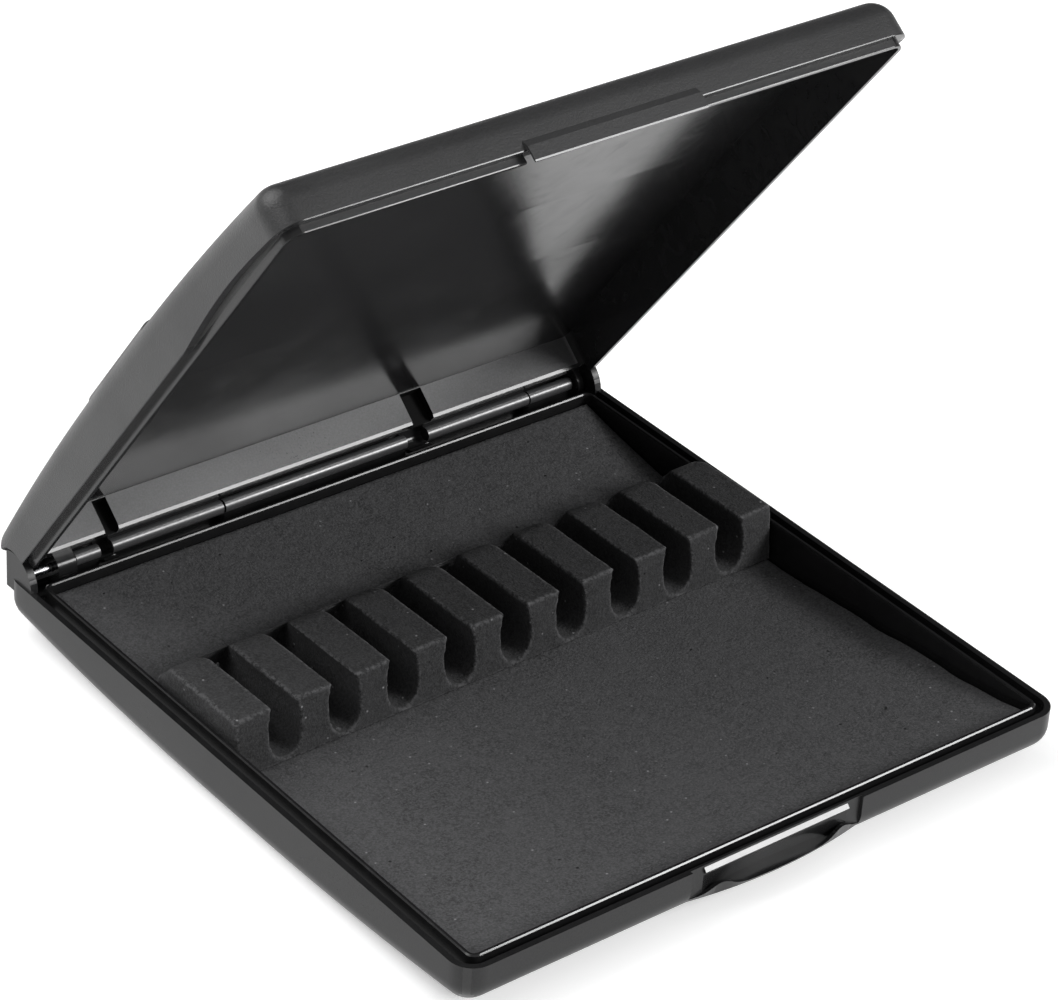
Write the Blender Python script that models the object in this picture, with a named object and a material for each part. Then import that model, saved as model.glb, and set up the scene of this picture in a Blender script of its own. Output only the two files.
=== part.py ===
"""A flat hinged pocket case with a foam sheet and a slotted foam strip in its tray.

Units: the constants are millimetres, and MM turns them into Blender's metres.
Frame: +Z up, +X to the right along the hinge, the front (the catch side) at -Y.
The origin is the middle of the flat land on the tray's underside.
Both shells are symmetric halves of one pillow shape. The lid is modelled closed and then turned open
about the hinge axis by the empty that carries it.
"""

import math

import bmesh
import bpy
from mathutils import Matrix, Vector

MM = 0.001

# --- the case ---------------------------------------------------------------
WIDTH = 92.0                # outer size along the hinge
DEPTH = 95.8                # outer size from front to back
RIM_Z = 7.8                 # the tray's rim above the flat land
CORNER = 3.2                # vertical corners
EDGE = 3.0                  # rounding between the walls and the domed faces
TRAY_DOME = 0.0012          # how fast the tray's underside rises away from its flat land, per mm
LID_DOME = 0.001            # the same for the lid's roof
LAND = 5.0                  # half the depth of the flat land
FLOOR = 1.2                 # thickness of the tray's floor and the lid's roof
HALF_X = WIDTH / 2
FRONT = -DEPTH / 2
BACK = DEPTH / 2

# --- the tray's rim ---------------------------------------------------------
WALL = 0.8                  # outer wall
GROOVE = 1.3                # how deep the rim groove goes
LIP_TOP = RIM_Z + 0.3
LIP_X = 43.9                # outside of the raised lip
LIP_FRONT = -46.15
LIP_BACK = 42.4
LIP_WALL = 0.6
LIP_CORNER = 1.2
WELL_CORNER = 0.8
RIM_EASE = 0.12             # eased edges of the rim
LIP_EASE = 0.18             # chamfers along the lip

# --- the lid ----------------------------------------------------------------
OPEN_ANGLE = 53.9           # how far the lid is open at rest, degrees
LID_RIM = RIM_Z + 0.2
LID_TOP = RIM_Z + 7.75      # the middle of the domed roof
BAND_TOP = RIM_Z + 8.15     # the flat raised band across the roof
BAND_HALF = 9.4
BAND_RAMP = 0.4             # the band's front and back edges slope down over this length
BAND_SINK = 0.6
BAND_UNDERSIDE = ((4.0, 1.1), (2.0, 1.7))               # points in from the side and down from the top
BAND_SHOULDER = ((1.1, 1.6), (1.9, 0.45), (3.2, 0.0))
TONGUE_END = RIM_Z - 0.8
TONGUE_X = 44.9
TONGUE_WALL = 0.65
TONGUE_FRONT = FRONT + 1.05
TONGUE_CORNER = 2.1
LID_SHORT = 0.3             # how far the lid's back wall stands in front of the tray's
INNER_EDGE = 0.3            # rounding between the lid's inner walls and its roof
LID_INNER_X = TONGUE_X - TONGUE_WALL
LID_INNER_FRONT = TONGUE_FRONT + 0.5
LID_INNER_BACK = 42.35
BACK_EDGE = RIM_Z + 0.6     # lower edge of the lid's thick back wall
NOTCH_DEPTH = 0.85          # finger notches in the lid's side walls
NOTCH_FROM = -46.6
NOTCH_TO = -17.6

# --- the hinge --------------------------------------------------------------
AXIS_Y = 45.9
AXIS_Z = RIM_Z - 0.18
EAR_R = 4.0
EAR_IN = 44.75              # inner face of the tray's thin corner ears
EAR_OUT = 45.75
EAR_BACK = BACK - 0.25
EAR_CLEAR = 0.4
SINK = 0.5                  # how far a joined piece reaches into the shell that it grows from
TROUGH_Z = RIM_Z - 3.4      # floor of the hinge trough
BACK_WALL_TOP = RIM_Z - 2.4
KNUCKLE_R = 0.93
KNUCKLE_WEB = 0.8
KNUCKLE_OPEN = 30           # half the angle over which a knuckle joins its web, degrees
TRAY_KNUCKLES = ((-37.0, -33.4), (-14.2, 15.1), (35.95, 43.2))
LID_KNUCKLES = ((-31.5, -14.5), (18.6, 35.7))
RELIEF_R = 2.0              # room that the lid leaves around the knuckles
GAP_COVERS = ((-33.1, -31.0), (15.4, 18.9))     # where neither shell has a knuckle
COVER_ANGLES = (-95, 45)
COVER_IN = 1.25
COVER_OUT = 1.7
COVER_ROOT = 2.3            # the cover's root reaches this far out, into the lid's back wall
COVER_ROOT_ANGLES = (65, 50)
LUG_R = 1.9
LUGS = ((-40.3, -37.6), (43.5, 44.4))
LUG_ROOT = AXIS_Z + RELIEF_R + 1.2      # where a lug ends inside the lid's back wall
PIN_R = 0.55
PIN_HOLE_R = 0.65
PINS = (("hinge_pin_left", -45.3, -37.3), ("hinge_pin_right", 42.5, 45.3))
PIN_ROOM = 0.2              # how far a pin's hole runs past its end

# --- the latch --------------------------------------------------------------
CATCH_HALF = 13.2           # half the width of the recess in the tray's front
RECESS = 0.45
RIDGE_HALF = 11.1
RIDGE_Z = RIM_Z - 0.8
SCOOP_RADII = (14.5, 3.2)   # half its width, and its radius from front to back
SCOOP_OUT = 1.6             # how far the scoop's centre stands in front of the wall
SCOOP_TOP = RIM_Z - 1.45
LEDGE_OUT = 1.25            # how far the ledge bows out at its middle
LEDGE_Z = RIM_Z - 4.2       # the floor of the scoop and of the recess
LEDGE_ROOT = 2.0            # how far the ledge reaches into the wall
LEDGE_FOOT = 0.9            # and how far down it reaches there
LEDGE_LIPS = ((0.4, 0.1), (0.8, -0.5))      # its two front edges, in from the wall and up from LEDGE_Z
LOBES = (-8.6, 10.2)        # where the ledge's front edge rises to a lobe
LOBE_HEIGHT = 1.1
LOBE_SPREAD = 1.9
LOBE_WALL = 0.5
RIDGE_DROPS = (0.2, 0.32, 0.95, 1.3)    # the ridge's edges below the rim, from root to underside
TAB_HALF = 12.6
TAB_OUT = 0.55              # how far the tab stands proud of the lid's front wall
TAB_IN = 0.25
TAB_TOP = RIM_Z + 1.4
TAB_BEND = RIM_Z + 0.5
TAB_END = RIM_Z - 1.5
TAB_TAPER = (0.09, 0.4)     # the tab's outer face leans in over its last stretch

# --- the foam ---------------------------------------------------------------
SHEET_LOW = RIM_Z - 4.95    # the foam sheet's top at its lowest
SHEET_CURL_FRONT = 0.0015   # how fast its top rises towards the front, per mm
SHEET_CURL_BACK = 0.0028
SHEET_GAP = 0.2             # room left around and under each foam piece
STRIP_TURN = 1.1            # the strip is glued in slightly askew, degrees
SLOTS = 9
SLOT_PITCH = 8.9
STRIP_HALF = 42.8
STRIP_FRONT = 2.65          # top of the strip's front face
STRIP_LEAN = 0.13           # how far the front face runs forward, per mm down
STRIP_BACK = 19.3
STRIP_TOP = RIM_Z + 3.0
STRIP_SLOPE = 0.7           # how far the back face runs forward, per mm up, above the rim's height
SLOT_FLOOR = RIM_Z - 4.3
# half a slot's width at each depth below the strip's top: a keyhole, narrow at its mouth
SLOT_HALVES = ((1.7, 0.0), (2.05, 1.0), (2.3, 2.1), (2.36, 3.6), (2.25, 5.1), (1.9, 6.2), (1.1, 7.05))

ARC_STEPS = 4
EDGE_STEPS = 4
SIDE_STEPS = 12
ROUND_STEPS = 24
SCOOP_STEPS = 48
LEDGE_STEPS = 26


def clear_scene():
    for thing in list(bpy.data.objects):
        bpy.data.objects.remove(thing, do_unlink=True)


def make_material(name, color, roughness, metallic=0.0):
    material = bpy.data.materials.new(name)
    material.use_nodes = True
    shader = material.node_tree.nodes["Principled BSDF"]
    shader.inputs["Base Color"].default_value = (*color, 1.0)
    shader.inputs["Roughness"].default_value = roughness
    shader.inputs["Metallic"].default_value = metallic
    material.diffuse_color = (*color, 1.0)
    return material


def add_object(name, bm, material=None):
    """Turns a bmesh that is built in millimetres into a named object in metres."""
    bmesh.ops.scale(bm, vec=(MM, MM, MM), verts=bm.verts)
    bmesh.ops.recalc_face_normals(bm, faces=bm.faces)
    mesh = bpy.data.meshes.new(name)
    bm.to_mesh(mesh)
    bm.free()
    thing = bpy.data.objects.new(name, mesh)
    bpy.context.scene.collection.objects.link(thing)
    if material:
        mesh.materials.append(material)
    return thing


def smooth(thing, degrees=35):
    thing.data.shade_smooth()
    thing.data.set_sharp_from_angle(angle=math.radians(degrees))


def add_tool(name, bm):
    """A guide shape for a Boolean: hidden, and never part of the object."""
    tool = add_object(name, bm)
    tool.hide_render = True
    tool.display_type = "WIRE"
    return tool


def combine(thing, tool, operation):
    modifier = thing.modifiers.new(tool.name, "BOOLEAN")
    modifier.operation = operation
    modifier.object = tool
    modifier.solver = "EXACT"


# --- shapes -----------------------------------------------------------------
def beyond_land(y):
    return max(0.0, abs(y) - LAND)


def tray_bottom(y):
    """The domed underside, flat near its middle."""
    return TRAY_DOME * beyond_land(y) ** 2


def lid_roof(y):
    """The domed roof of the closed lid."""
    return LID_TOP - LID_DOME * beyond_land(y) ** 2


def sheet_top(y):
    """The foam sheet's top, which is dished: lowest under the strip's front edge."""
    curl = SHEET_CURL_FRONT if y < STRIP_FRONT else SHEET_CURL_BACK
    return SHEET_LOW + curl * (y - STRIP_FRONT) ** 2


def left_side(half_x, front, back, radius):
    """Points from the front edge, round both left corners and along the side between them."""
    path = []
    for step in range(ARC_STEPS + 1):
        angle = math.radians(90) * step / ARC_STEPS
        path.append((-half_x + radius * (1 - math.sin(angle)), front + radius * (1 - math.cos(angle))))
    straight = back - front - 2 * radius
    for step in range(1, SIDE_STEPS):
        path.append((-half_x, front + radius + straight * step / SIDE_STEPS))
    for step in range(ARC_STEPS + 1):
        angle = math.radians(90) * step / ARC_STEPS
        path.append((-half_x + radius * (1 - math.cos(angle)), back - radius * (1 - math.sin(angle))))
    return path


def add_ring(bm, half_x, front, back, radius, height):
    """One closed loop of a shell. height is a number or a function of y."""
    left = left_side(half_x, front, back, radius)
    loop = left + [(-x, y) for x, y in reversed(left)]
    return [bm.verts.new((x, y, height(y) if callable(height) else height)) for x, y in loop]


def join_rings(bm, lower, upper):
    for i in range(len(lower)):
        j = (i + 1) % len(lower)
        bm.faces.new((lower[i], lower[j], upper[j], upper[i]))


def cap_ring(bm, ring):
    """Closes a loop with strips that run straight across from side to side."""
    count = len(ring)
    for i in range(count // 2 - 1):
        bm.faces.new((ring[i], ring[i + 1], ring[count - 2 - i], ring[count - 1 - i]))


def loft(rings):
    """A closed body through the given rings, capped at both ends."""
    bm = bmesh.new()
    loops = [add_ring(bm, *ring) for ring in rings]
    for lower, upper in zip(loops, loops[1:]):
        join_rings(bm, lower, upper)
    cap_ring(bm, loops[0])
    cap_ring(bm, loops[-1])
    return bm


def edge_rings(half_x, front, back, corner, radius, surface, sign, inward):
    """The rings of a rounded edge between a wall and a domed face.

    sign is -1 where the face lies below the wall and +1 where it lies above. The rings run from the face
    to the wall, or the other way round where inward is set.
    """
    rings = []
    for step in range(EDGE_STEPS + 1):
        angle = math.radians(90) * step / EDGE_STEPS
        inset = radius * (1 - math.sin(angle))
        drop = radius * (1 - math.cos(angle))
        rings.append((half_x - inset, front + inset, back - inset, max(corner - inset, 0.3),
                      lambda y, drop=drop: surface(y) - sign * drop))
    return list(reversed(rings)) if inward else rings


def box(low, high):
    bm = bmesh.new()
    size = Vector(high) - Vector(low)
    place = Matrix.Translation(Vector(low) + size / 2) @ Matrix.Diagonal((*size, 1))
    bmesh.ops.create_cube(bm, size=1.0, matrix=place)
    return bm


def rod(x_from, x_to, radius, steps=ROUND_STEPS):
    """A round bar along the hinge axis."""
    bm = bmesh.new()
    middle = Matrix.Translation(((x_from + x_to) / 2, AXIS_Y, AXIS_Z))
    place = middle @ Matrix.Rotation(math.radians(90), 4, "Y")
    bmesh.ops.create_cone(bm, cap_ends=True, segments=steps, radius1=radius, radius2=radius,
                          depth=abs(x_to - x_from), matrix=place)
    return bm


def side_span(side, inner, outer):
    """Lowest and highest x of something that lies between two distances from the middle."""
    return sorted((side * inner, side * outer))


def prism(outline, x_from, x_to):
    """An outline of (y, z) points, extruded along X."""
    bm = bmesh.new()
    face = bm.faces.new([bm.verts.new((x_from, y, z)) for y, z in outline])
    extruded = bmesh.ops.extrude_face_region(bm, geom=[face])["geom"]
    moved = [item for item in extruded if isinstance(item, bmesh.types.BMVert)]
    bmesh.ops.translate(bm, verts=moved, vec=(x_to - x_from, 0, 0))
    return bm


def both_sides(make, name, thing, operation):
    """Applies one tool on the left and its mirror image on the right."""
    for side, label in ((-1, "left"), (1, "right")):
        combine(thing, add_tool(f"{name}_{label}", make(side)), operation)


# --- the tray ---------------------------------------------------------------
def tray_shell():
    lip = (LIP_X, LIP_FRONT, LIP_BACK, LIP_CORNER)
    well = (LIP_X - LIP_WALL, LIP_FRONT + LIP_WALL, LIP_BACK - LIP_WALL, WELL_CORNER)
    rings = edge_rings(HALF_X, FRONT, BACK, CORNER, EDGE, tray_bottom, -1, False)
    rings += [
        (HALF_X, FRONT, BACK, CORNER, RIM_Z - RIM_EASE),
        (HALF_X - RIM_EASE, FRONT + RIM_EASE, BACK - RIM_EASE, CORNER - RIM_EASE, RIM_Z),
        (HALF_X - WALL, FRONT + WALL, BACK - WALL, CORNER - WALL, RIM_Z),
        (HALF_X - WALL, FRONT + WALL, BACK - WALL, CORNER - WALL, RIM_Z - GROOVE),
        (*lip, RIM_Z - GROOVE),
        (*lip, LIP_TOP - LIP_EASE),
        (lip[0] - LIP_EASE, lip[1] + LIP_EASE, lip[2] - LIP_EASE, lip[3], LIP_TOP),
        (well[0] + LIP_EASE, well[1] - LIP_EASE, well[2] + LIP_EASE, well[3], LIP_TOP),
        (*well, LIP_TOP - LIP_EASE),
        (*well, lambda y: tray_bottom(y) + FLOOR),
    ]
    return loft(rings)


def ear(side):
    """A round corner ear about the hinge axis, with a foot that runs down into the trough."""
    steps = ROUND_STEPS // 2
    outline = []
    for step in range(steps + 1):
        angle = math.pi * step / steps
        reach = min(AXIS_Y + EAR_R * math.cos(angle), EAR_BACK)
        outline.append((reach, AXIS_Z + EAR_R * math.sin(angle)))
    foot = RIM_Z - GROOVE - SINK
    outline += [(AXIS_Y - EAR_R, foot), (EAR_BACK, foot)]
    bm = prism(outline, *side_span(side, EAR_IN, EAR_OUT))
    bmesh.ops.remove_doubles(bm, verts=bm.verts, dist=0.001)
    return bm


def knuckle(x_from, x_to, below):
    """A hinge knuckle on a web that joins it to the shell below it or above it."""
    half = KNUCKLE_WEB / 2
    towards = -1 if below else 1
    end = TROUGH_Z - SINK if below else AXIS_Z + RELIEF_R + SINK
    outline = []
    for step in range(ROUND_STEPS):
        angle = math.radians(KNUCKLE_OPEN + (360 - 2 * KNUCKLE_OPEN) * step / (ROUND_STEPS - 1))
        along = towards * KNUCKLE_R * math.cos(angle)
        across = towards * KNUCKLE_R * math.sin(angle)
        outline.append((AXIS_Y + across, AXIS_Z + along))
    outline += [(AXIS_Y - towards * half, end), (AXIS_Y + towards * half, end)]
    return prism(outline, x_from, x_to)


def scoop():
    """A lens-shaped pocket for a fingertip, with an upright back and a flat floor."""
    bm = bmesh.new()
    middle = Matrix.Translation((0, FRONT - SCOOP_OUT, (SCOOP_TOP + LEDGE_Z) / 2))
    place = middle @ Matrix.Diagonal((*SCOOP_RADII, 1, 1))
    bmesh.ops.create_cone(bm, cap_ends=True, segments=SCOOP_STEPS, radius1=1, radius2=1,
                          depth=SCOOP_TOP - LEDGE_Z, matrix=place)
    return bm


def ledge():
    """The bowed shelf under the scoop, with a raised lobe near each end of its front edge."""
    bm = bmesh.new()
    loops = []
    (upper_in, upper_up), (lower_in, lower_up) = LEDGE_LIPS
    root = FRONT + LEDGE_ROOT
    for step in range(LEDGE_STEPS + 1):
        x = CATCH_HALF * (2 * step / LEDGE_STEPS - 1)
        front = FRONT - LEDGE_OUT * (1 - (x / CATCH_HALF) ** 2)
        top = LEDGE_Z + upper_up
        for middle in LOBES:
            top += LOBE_HEIGHT * math.exp(-((x - middle) / LOBE_SPREAD) ** 2)
        section = (
            (root, LEDGE_Z),
            (front + upper_in + LOBE_WALL, LEDGE_Z),
            (front + upper_in + LOBE_WALL, top),
            (front + upper_in, top),
            (front + lower_in, LEDGE_Z + lower_up),
            (root, LEDGE_Z - LEDGE_FOOT),
        )
        loops.append([bm.verts.new((x, y, z)) for y, z in section])
    for one, two in zip(loops, loops[1:]):
        join_rings(bm, one, two)
    bm.faces.new(loops[0])
    bm.faces.new(loops[-1])
    return bm


def catch_recess():
    """The cutter for the shallow recess, which leaves the ridge along its top."""
    return box((-CATCH_HALF, FRONT - 1, LEDGE_Z), (CATCH_HALF, FRONT + RECESS, RIM_Z + 1))


def catch_ridge():
    """The sloped ridge that the lid's tab snaps over."""
    root, shoulder, nose, under = RIDGE_DROPS
    inner = FRONT + RECESS + 0.2
    outline = [
        (inner, RIM_Z - root),
        (FRONT + RECESS, RIM_Z - shoulder),
        (FRONT + 0.02, RIDGE_Z),
        (FRONT + 0.1, RIM_Z - nose),
        (inner, RIM_Z - under),
    ]
    return prism(outline, -RIDGE_HALF, RIDGE_HALF)


def make_tray(material):
    tray = add_object("base_tray", tray_shell(), material)
    trough = box((-EAR_IN, LIP_BACK, TROUGH_Z), (EAR_IN, BACK - WALL, RIM_Z + 2))
    combine(tray, add_tool("cut_trough", trough), "DIFFERENCE")
    opening = box((-EAR_IN, BACK - 2, BACK_WALL_TOP), (EAR_IN, BACK + 1, RIM_Z + 2))
    combine(tray, add_tool("cut_back_wall", opening), "DIFFERENCE")
    both_sides(ear, "ear", tray, "UNION")
    for number, (x_from, x_to) in enumerate(TRAY_KNUCKLES, 1):
        combine(tray, add_tool(f"tray_knuckle_{number}", knuckle(x_from, x_to, True)), "UNION")
    for name, x_from, x_to in PINS:
        hole = rod(x_from - PIN_ROOM, x_to + PIN_ROOM, PIN_HOLE_R)
        combine(tray, add_tool(f"cut_{name}", hole), "DIFFERENCE")
    combine(tray, add_tool("cut_catch_recess", catch_recess()), "DIFFERENCE")
    combine(tray, add_tool("cut_scoop", scoop()), "DIFFERENCE")
    combine(tray, add_tool("ledge", ledge()), "UNION")
    combine(tray, add_tool("catch_ridge", catch_ridge()), "UNION")
    smooth(tray)
    return tray


# --- the lid ----------------------------------------------------------------
def lid_body():
    inner = (LID_INNER_X, LID_INNER_FRONT, LID_INNER_BACK, LIP_CORNER)
    tongue = (TONGUE_X, TONGUE_FRONT, BACK - WALL, TONGUE_CORNER)
    back = BACK - LID_SHORT
    rings = edge_rings(HALF_X, FRONT, back, CORNER, EDGE, lid_roof, 1, False)
    rings += [
        (HALF_X, FRONT, back, CORNER, LID_RIM + RIM_EASE),
        (HALF_X - RIM_EASE, FRONT + RIM_EASE, back - RIM_EASE, CORNER - RIM_EASE, LID_RIM),
        (*tongue, LID_RIM),
        (*tongue, TONGUE_END),
        (*inner, TONGUE_END),
    ]
    rings += edge_rings(*inner, INNER_EDGE, lambda y: lid_roof(y) - FLOOR, 1, True)
    return loft(rings)


def band():
    """The raised flat band across the roof, which follows the rounded edge down at each end."""
    bm = bmesh.new()
    loops = []
    low_edge = (BAND_HALF + BAND_RAMP, BAND_SINK)
    high_edge = (BAND_HALF, 0.0)
    for end, (reach, drop) in ((-1, low_edge), (-1, high_edge), (1, high_edge), (1, low_edge)):
        section = [(-HALF_X + inset, BAND_TOP - depth) for inset, depth in BAND_UNDERSIDE]
        section += [(-HALF_X + inset, BAND_TOP - depth - drop) for inset, depth in BAND_SHOULDER]
        full = section + [(-x, z) for x, z in reversed(section)]
        loops.append([bm.verts.new((x, end * reach, z)) for x, z in full])
    for one, two in zip(loops, loops[1:]):
        join_rings(bm, one, two)
    bm.faces.new(loops[0])
    bm.faces.new(loops[-1])
    return bm


def about_axis(radius, degrees):
    """A (y, z) point at an angle round the hinge axis."""
    angle = math.radians(degrees)
    return (AXIS_Y + radius * math.cos(angle), AXIS_Z + radius * math.sin(angle))


def gap_cover(x_from, x_to):
    """A thin curved wall behind the hinge line, which closes a gap between knuckles."""
    steps = ROUND_STEPS // 2
    low, high = COVER_ANGLES
    outline = [about_axis(COVER_ROOT, angle) for angle in COVER_ROOT_ANGLES]
    for step in range(steps + 1):
        outline.append(about_axis(COVER_OUT, high + (low - high) * step / steps))
    for step in range(steps + 1):
        outline.append(about_axis(COVER_IN, low + (high - low) * step / steps))
    return prism(outline, x_from, x_to)


def finger_notch(side):
    """A lens-shaped cutter along one side wall."""
    arc = []
    for step in range(SIDE_STEPS + 1):
        y = NOTCH_FROM + (NOTCH_TO - NOTCH_FROM) * step / SIDE_STEPS
        arc.append((y, LID_RIM + NOTCH_DEPTH * math.sin(math.pi * step / SIDE_STEPS)))
    outline = arc + [(NOTCH_TO, LID_RIM - SINK), (NOTCH_FROM, LID_RIM - SINK)]
    return prism(outline, *side_span(side, TONGUE_X + 0.02, HALF_X + 1))


def lug(x_from, x_to):
    """A plate that hangs from the lid and turns on the hinge pin."""
    steps = ROUND_STEPS // 2
    outline = []
    for step in range(steps + 1):
        angle = math.pi + math.pi * step / steps
        outline.append((AXIS_Y + LUG_R * math.cos(angle), AXIS_Z + LUG_R * math.sin(angle)))
    outline += [(AXIS_Y + LUG_R - 0.4, LUG_ROOT), (AXIS_Y - LUG_R, LUG_ROOT)]
    return prism(outline, x_from, x_to)


def tab():
    """The snap tab that stands proud of the lid's front wall and reaches down over the catch."""
    outer = FRONT - TAB_OUT
    inner = FRONT - TAB_IN
    root = FRONT + SINK
    outline = [
        (root, TAB_TOP + 0.3),
        (FRONT - 0.02, TAB_TOP),
        (outer, TAB_BEND),
        (outer, TAB_END + TAB_TAPER[1]),
        (outer + TAB_TAPER[0], TAB_END),
        (inner, TAB_END),
        (inner, LID_RIM + 0.1),
        (root, LID_RIM + 0.1),
    ]
    return prism(outline, -TAB_HALF, TAB_HALF)


def make_lid(material, pivot):
    lid = add_object("lid_shell", lid_body(), material)
    combine(lid, add_tool("band", band()), "UNION")
    low_back = box((-HALF_X - 1, AXIS_Y - EAR_R - EAR_CLEAR, TONGUE_END - 1),
                   (HALF_X + 1, BACK + 1, BACK_EDGE))
    combine(lid, add_tool("cut_low_back", low_back), "DIFFERENCE")
    room = rod(-EAR_IN + 0.1, EAR_IN - 0.1, RELIEF_R)
    combine(lid, add_tool("cut_relief", room), "DIFFERENCE")
    both_sides(lambda side: rod(*side_span(side, EAR_IN - EAR_CLEAR, HALF_X + 1), EAR_R + EAR_CLEAR,
                                2 * ROUND_STEPS), "cut_ear_room", lid, "DIFFERENCE")
    both_sides(finger_notch, "cut_finger_notch", lid, "DIFFERENCE")
    tongue_gap = box((-TAB_HALF, TONGUE_FRONT - SINK, TONGUE_END - 1),
                     (TAB_HALF, LID_INNER_FRONT + 0.1, LID_RIM))
    combine(lid, add_tool("cut_tongue_gap", tongue_gap), "DIFFERENCE")
    for number, (x_from, x_to) in enumerate(LID_KNUCKLES, 1):
        combine(lid, add_tool(f"lid_knuckle_{number}", knuckle(x_from, x_to, False)), "UNION")
    for number, (x_from, x_to) in enumerate(GAP_COVERS, 1):
        combine(lid, add_tool(f"gap_cover_{number}", gap_cover(x_from, x_to)), "UNION")
    for number, (x_from, x_to) in enumerate(LUGS, 1):
        combine(lid, add_tool(f"lug_{number}", lug(x_from, x_to)), "UNION")
        hole = rod(x_from - SINK, x_to + SINK, PIN_HOLE_R)
        combine(lid, add_tool(f"cut_lug_hole_{number}", hole), "DIFFERENCE")
    combine(lid, add_tool("tab", tab()), "UNION")
    smooth(lid)
    carry(lid, pivot)
    for modifier in lid.modifiers:
        carry(modifier.object, pivot)
    return lid


def make_pivot():
    """An empty on the hinge axis. Turning it opens the lid."""
    pivot = bpy.data.objects.new("lid_pivot", None)
    pivot.location = (0, AXIS_Y * MM, AXIS_Z * MM)
    bpy.context.scene.collection.objects.link(pivot)
    return pivot


def carry(thing, pivot):
    """Hangs a thing that is modelled closed on the pivot, with its origin on the hinge axis."""
    thing.data.transform(Matrix.Translation(-pivot.location))
    thing.parent = pivot


# --- pins and foam ----------------------------------------------------------
def make_pin(name, x_from, x_to, material):
    pin = add_object(name, rod(x_from, x_to, PIN_R, 16), material)
    smooth(pin)
    return pin


def make_sheet(material):
    """The foam sheet that lines the tray's floor."""
    gap = SHEET_GAP + LIP_WALL
    place = (LIP_X - gap, LIP_FRONT + gap, LIP_BACK - gap, WELL_CORNER)
    rings = [
        (*place, lambda y: tray_bottom(y) + FLOOR + SHEET_GAP),
        (*place, sheet_top),
    ]
    return add_object("foam_sheet", loft(rings), material)


def slot_outline(centre):
    """One keyhole slot, from its left mouth down, round its floor and up to its right mouth."""
    left = [(centre - half, STRIP_TOP - depth) for half, depth in SLOT_HALVES]
    right = [(centre + half, STRIP_TOP - depth) for half, depth in reversed(SLOT_HALVES)]
    return left + [(centre, SLOT_FLOOR)] + right


def make_strip(material):
    """The slotted strip: one comb outline, carried from a leaning front face to a sloped back face.

    The back of its underside and of its slots sits higher, because the sheet under it is dished.
    """
    front_bottom = sheet_top(STRIP_FRONT) + SHEET_GAP
    back_bottom = sheet_top(STRIP_BACK) + SHEET_GAP
    outline = [
        (STRIP_HALF, front_bottom),
        (-STRIP_HALF, front_bottom),
        (-STRIP_HALF, RIM_Z),
        (-STRIP_HALF, STRIP_TOP),
    ]
    for number in range(SLOTS):
        outline += slot_outline(SLOT_PITCH * (number - (SLOTS - 1) / 2))
    outline += [(STRIP_HALF, STRIP_TOP), (STRIP_HALF, RIM_Z)]

    bm = bmesh.new()
    front = []
    back = []
    for x, z in outline:
        low = max(0.0, (RIM_Z - z) / (RIM_Z - front_bottom))
        lift = low * (back_bottom - front_bottom)
        front.append(bm.verts.new((x, STRIP_FRONT - STRIP_LEAN * (STRIP_TOP - z), z)))
        back.append(bm.verts.new((x, STRIP_BACK - STRIP_SLOPE * max(0.0, z - RIM_Z), z + lift)))
    loops = [front, back]
    join_rings(bm, *loops)
    bm.faces.new(loops[0])
    bm.faces.new(loops[1])
    bmesh.ops.triangulate(bm, faces=bm.faces)
    middle = Vector((0, (STRIP_FRONT + STRIP_BACK) / 2, 0))
    turn = Matrix.Rotation(math.radians(STRIP_TURN), 3, "Z")
    bmesh.ops.rotate(bm, verts=bm.verts, cent=middle, matrix=turn)
    return add_object("foam_slotted_strip", bm, material)


def main():
    clear_scene()
    shell_black = make_material("shell_black", (0.018, 0.018, 0.019), 0.32)
    lid_black = make_material("lid_black", (0.018, 0.018, 0.019), 0.30)
    pin_steel = make_material("pin_steel", (0.55, 0.55, 0.56), 0.28, 1.0)
    foam_grey = make_material("foam_grey", (0.035, 0.035, 0.037), 0.95)
    strip_grey = make_material("strip_grey", (0.032, 0.032, 0.034), 0.95)
    pivot = make_pivot()
    make_tray(shell_black)
    make_lid(lid_black, pivot)
    for name, x_from, x_to in PINS:
        make_pin(name, x_from, x_to, pin_steel)
    make_sheet(foam_grey)
    make_strip(strip_grey)
    pivot.rotation_euler = (-math.radians(OPEN_ANGLE), 0, 0)


main()
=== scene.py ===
"""A hinged pocket case with a foam sheet and a slotted foam strip, built round the CAD frame.

Shapes are built in millimetres and scaled to metres. The lid is built closed and then turned open
about the hinge axis, to where the frame has it.
"""

import math

import bmesh
import bpy
from mathutils import Matrix, Vector, noise


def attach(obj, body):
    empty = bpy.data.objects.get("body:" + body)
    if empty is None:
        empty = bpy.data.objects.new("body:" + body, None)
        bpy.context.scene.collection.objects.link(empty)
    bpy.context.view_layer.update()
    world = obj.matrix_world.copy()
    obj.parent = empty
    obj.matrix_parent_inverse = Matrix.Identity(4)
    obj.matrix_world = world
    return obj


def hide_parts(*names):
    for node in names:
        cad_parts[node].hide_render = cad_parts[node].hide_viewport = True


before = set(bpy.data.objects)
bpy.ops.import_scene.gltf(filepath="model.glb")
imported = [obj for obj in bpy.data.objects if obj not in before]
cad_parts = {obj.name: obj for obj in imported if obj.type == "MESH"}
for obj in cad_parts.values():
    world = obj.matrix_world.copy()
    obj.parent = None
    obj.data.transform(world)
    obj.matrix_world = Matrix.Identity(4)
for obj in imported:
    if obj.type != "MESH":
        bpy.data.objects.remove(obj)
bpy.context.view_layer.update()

MM = 0.001

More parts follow.
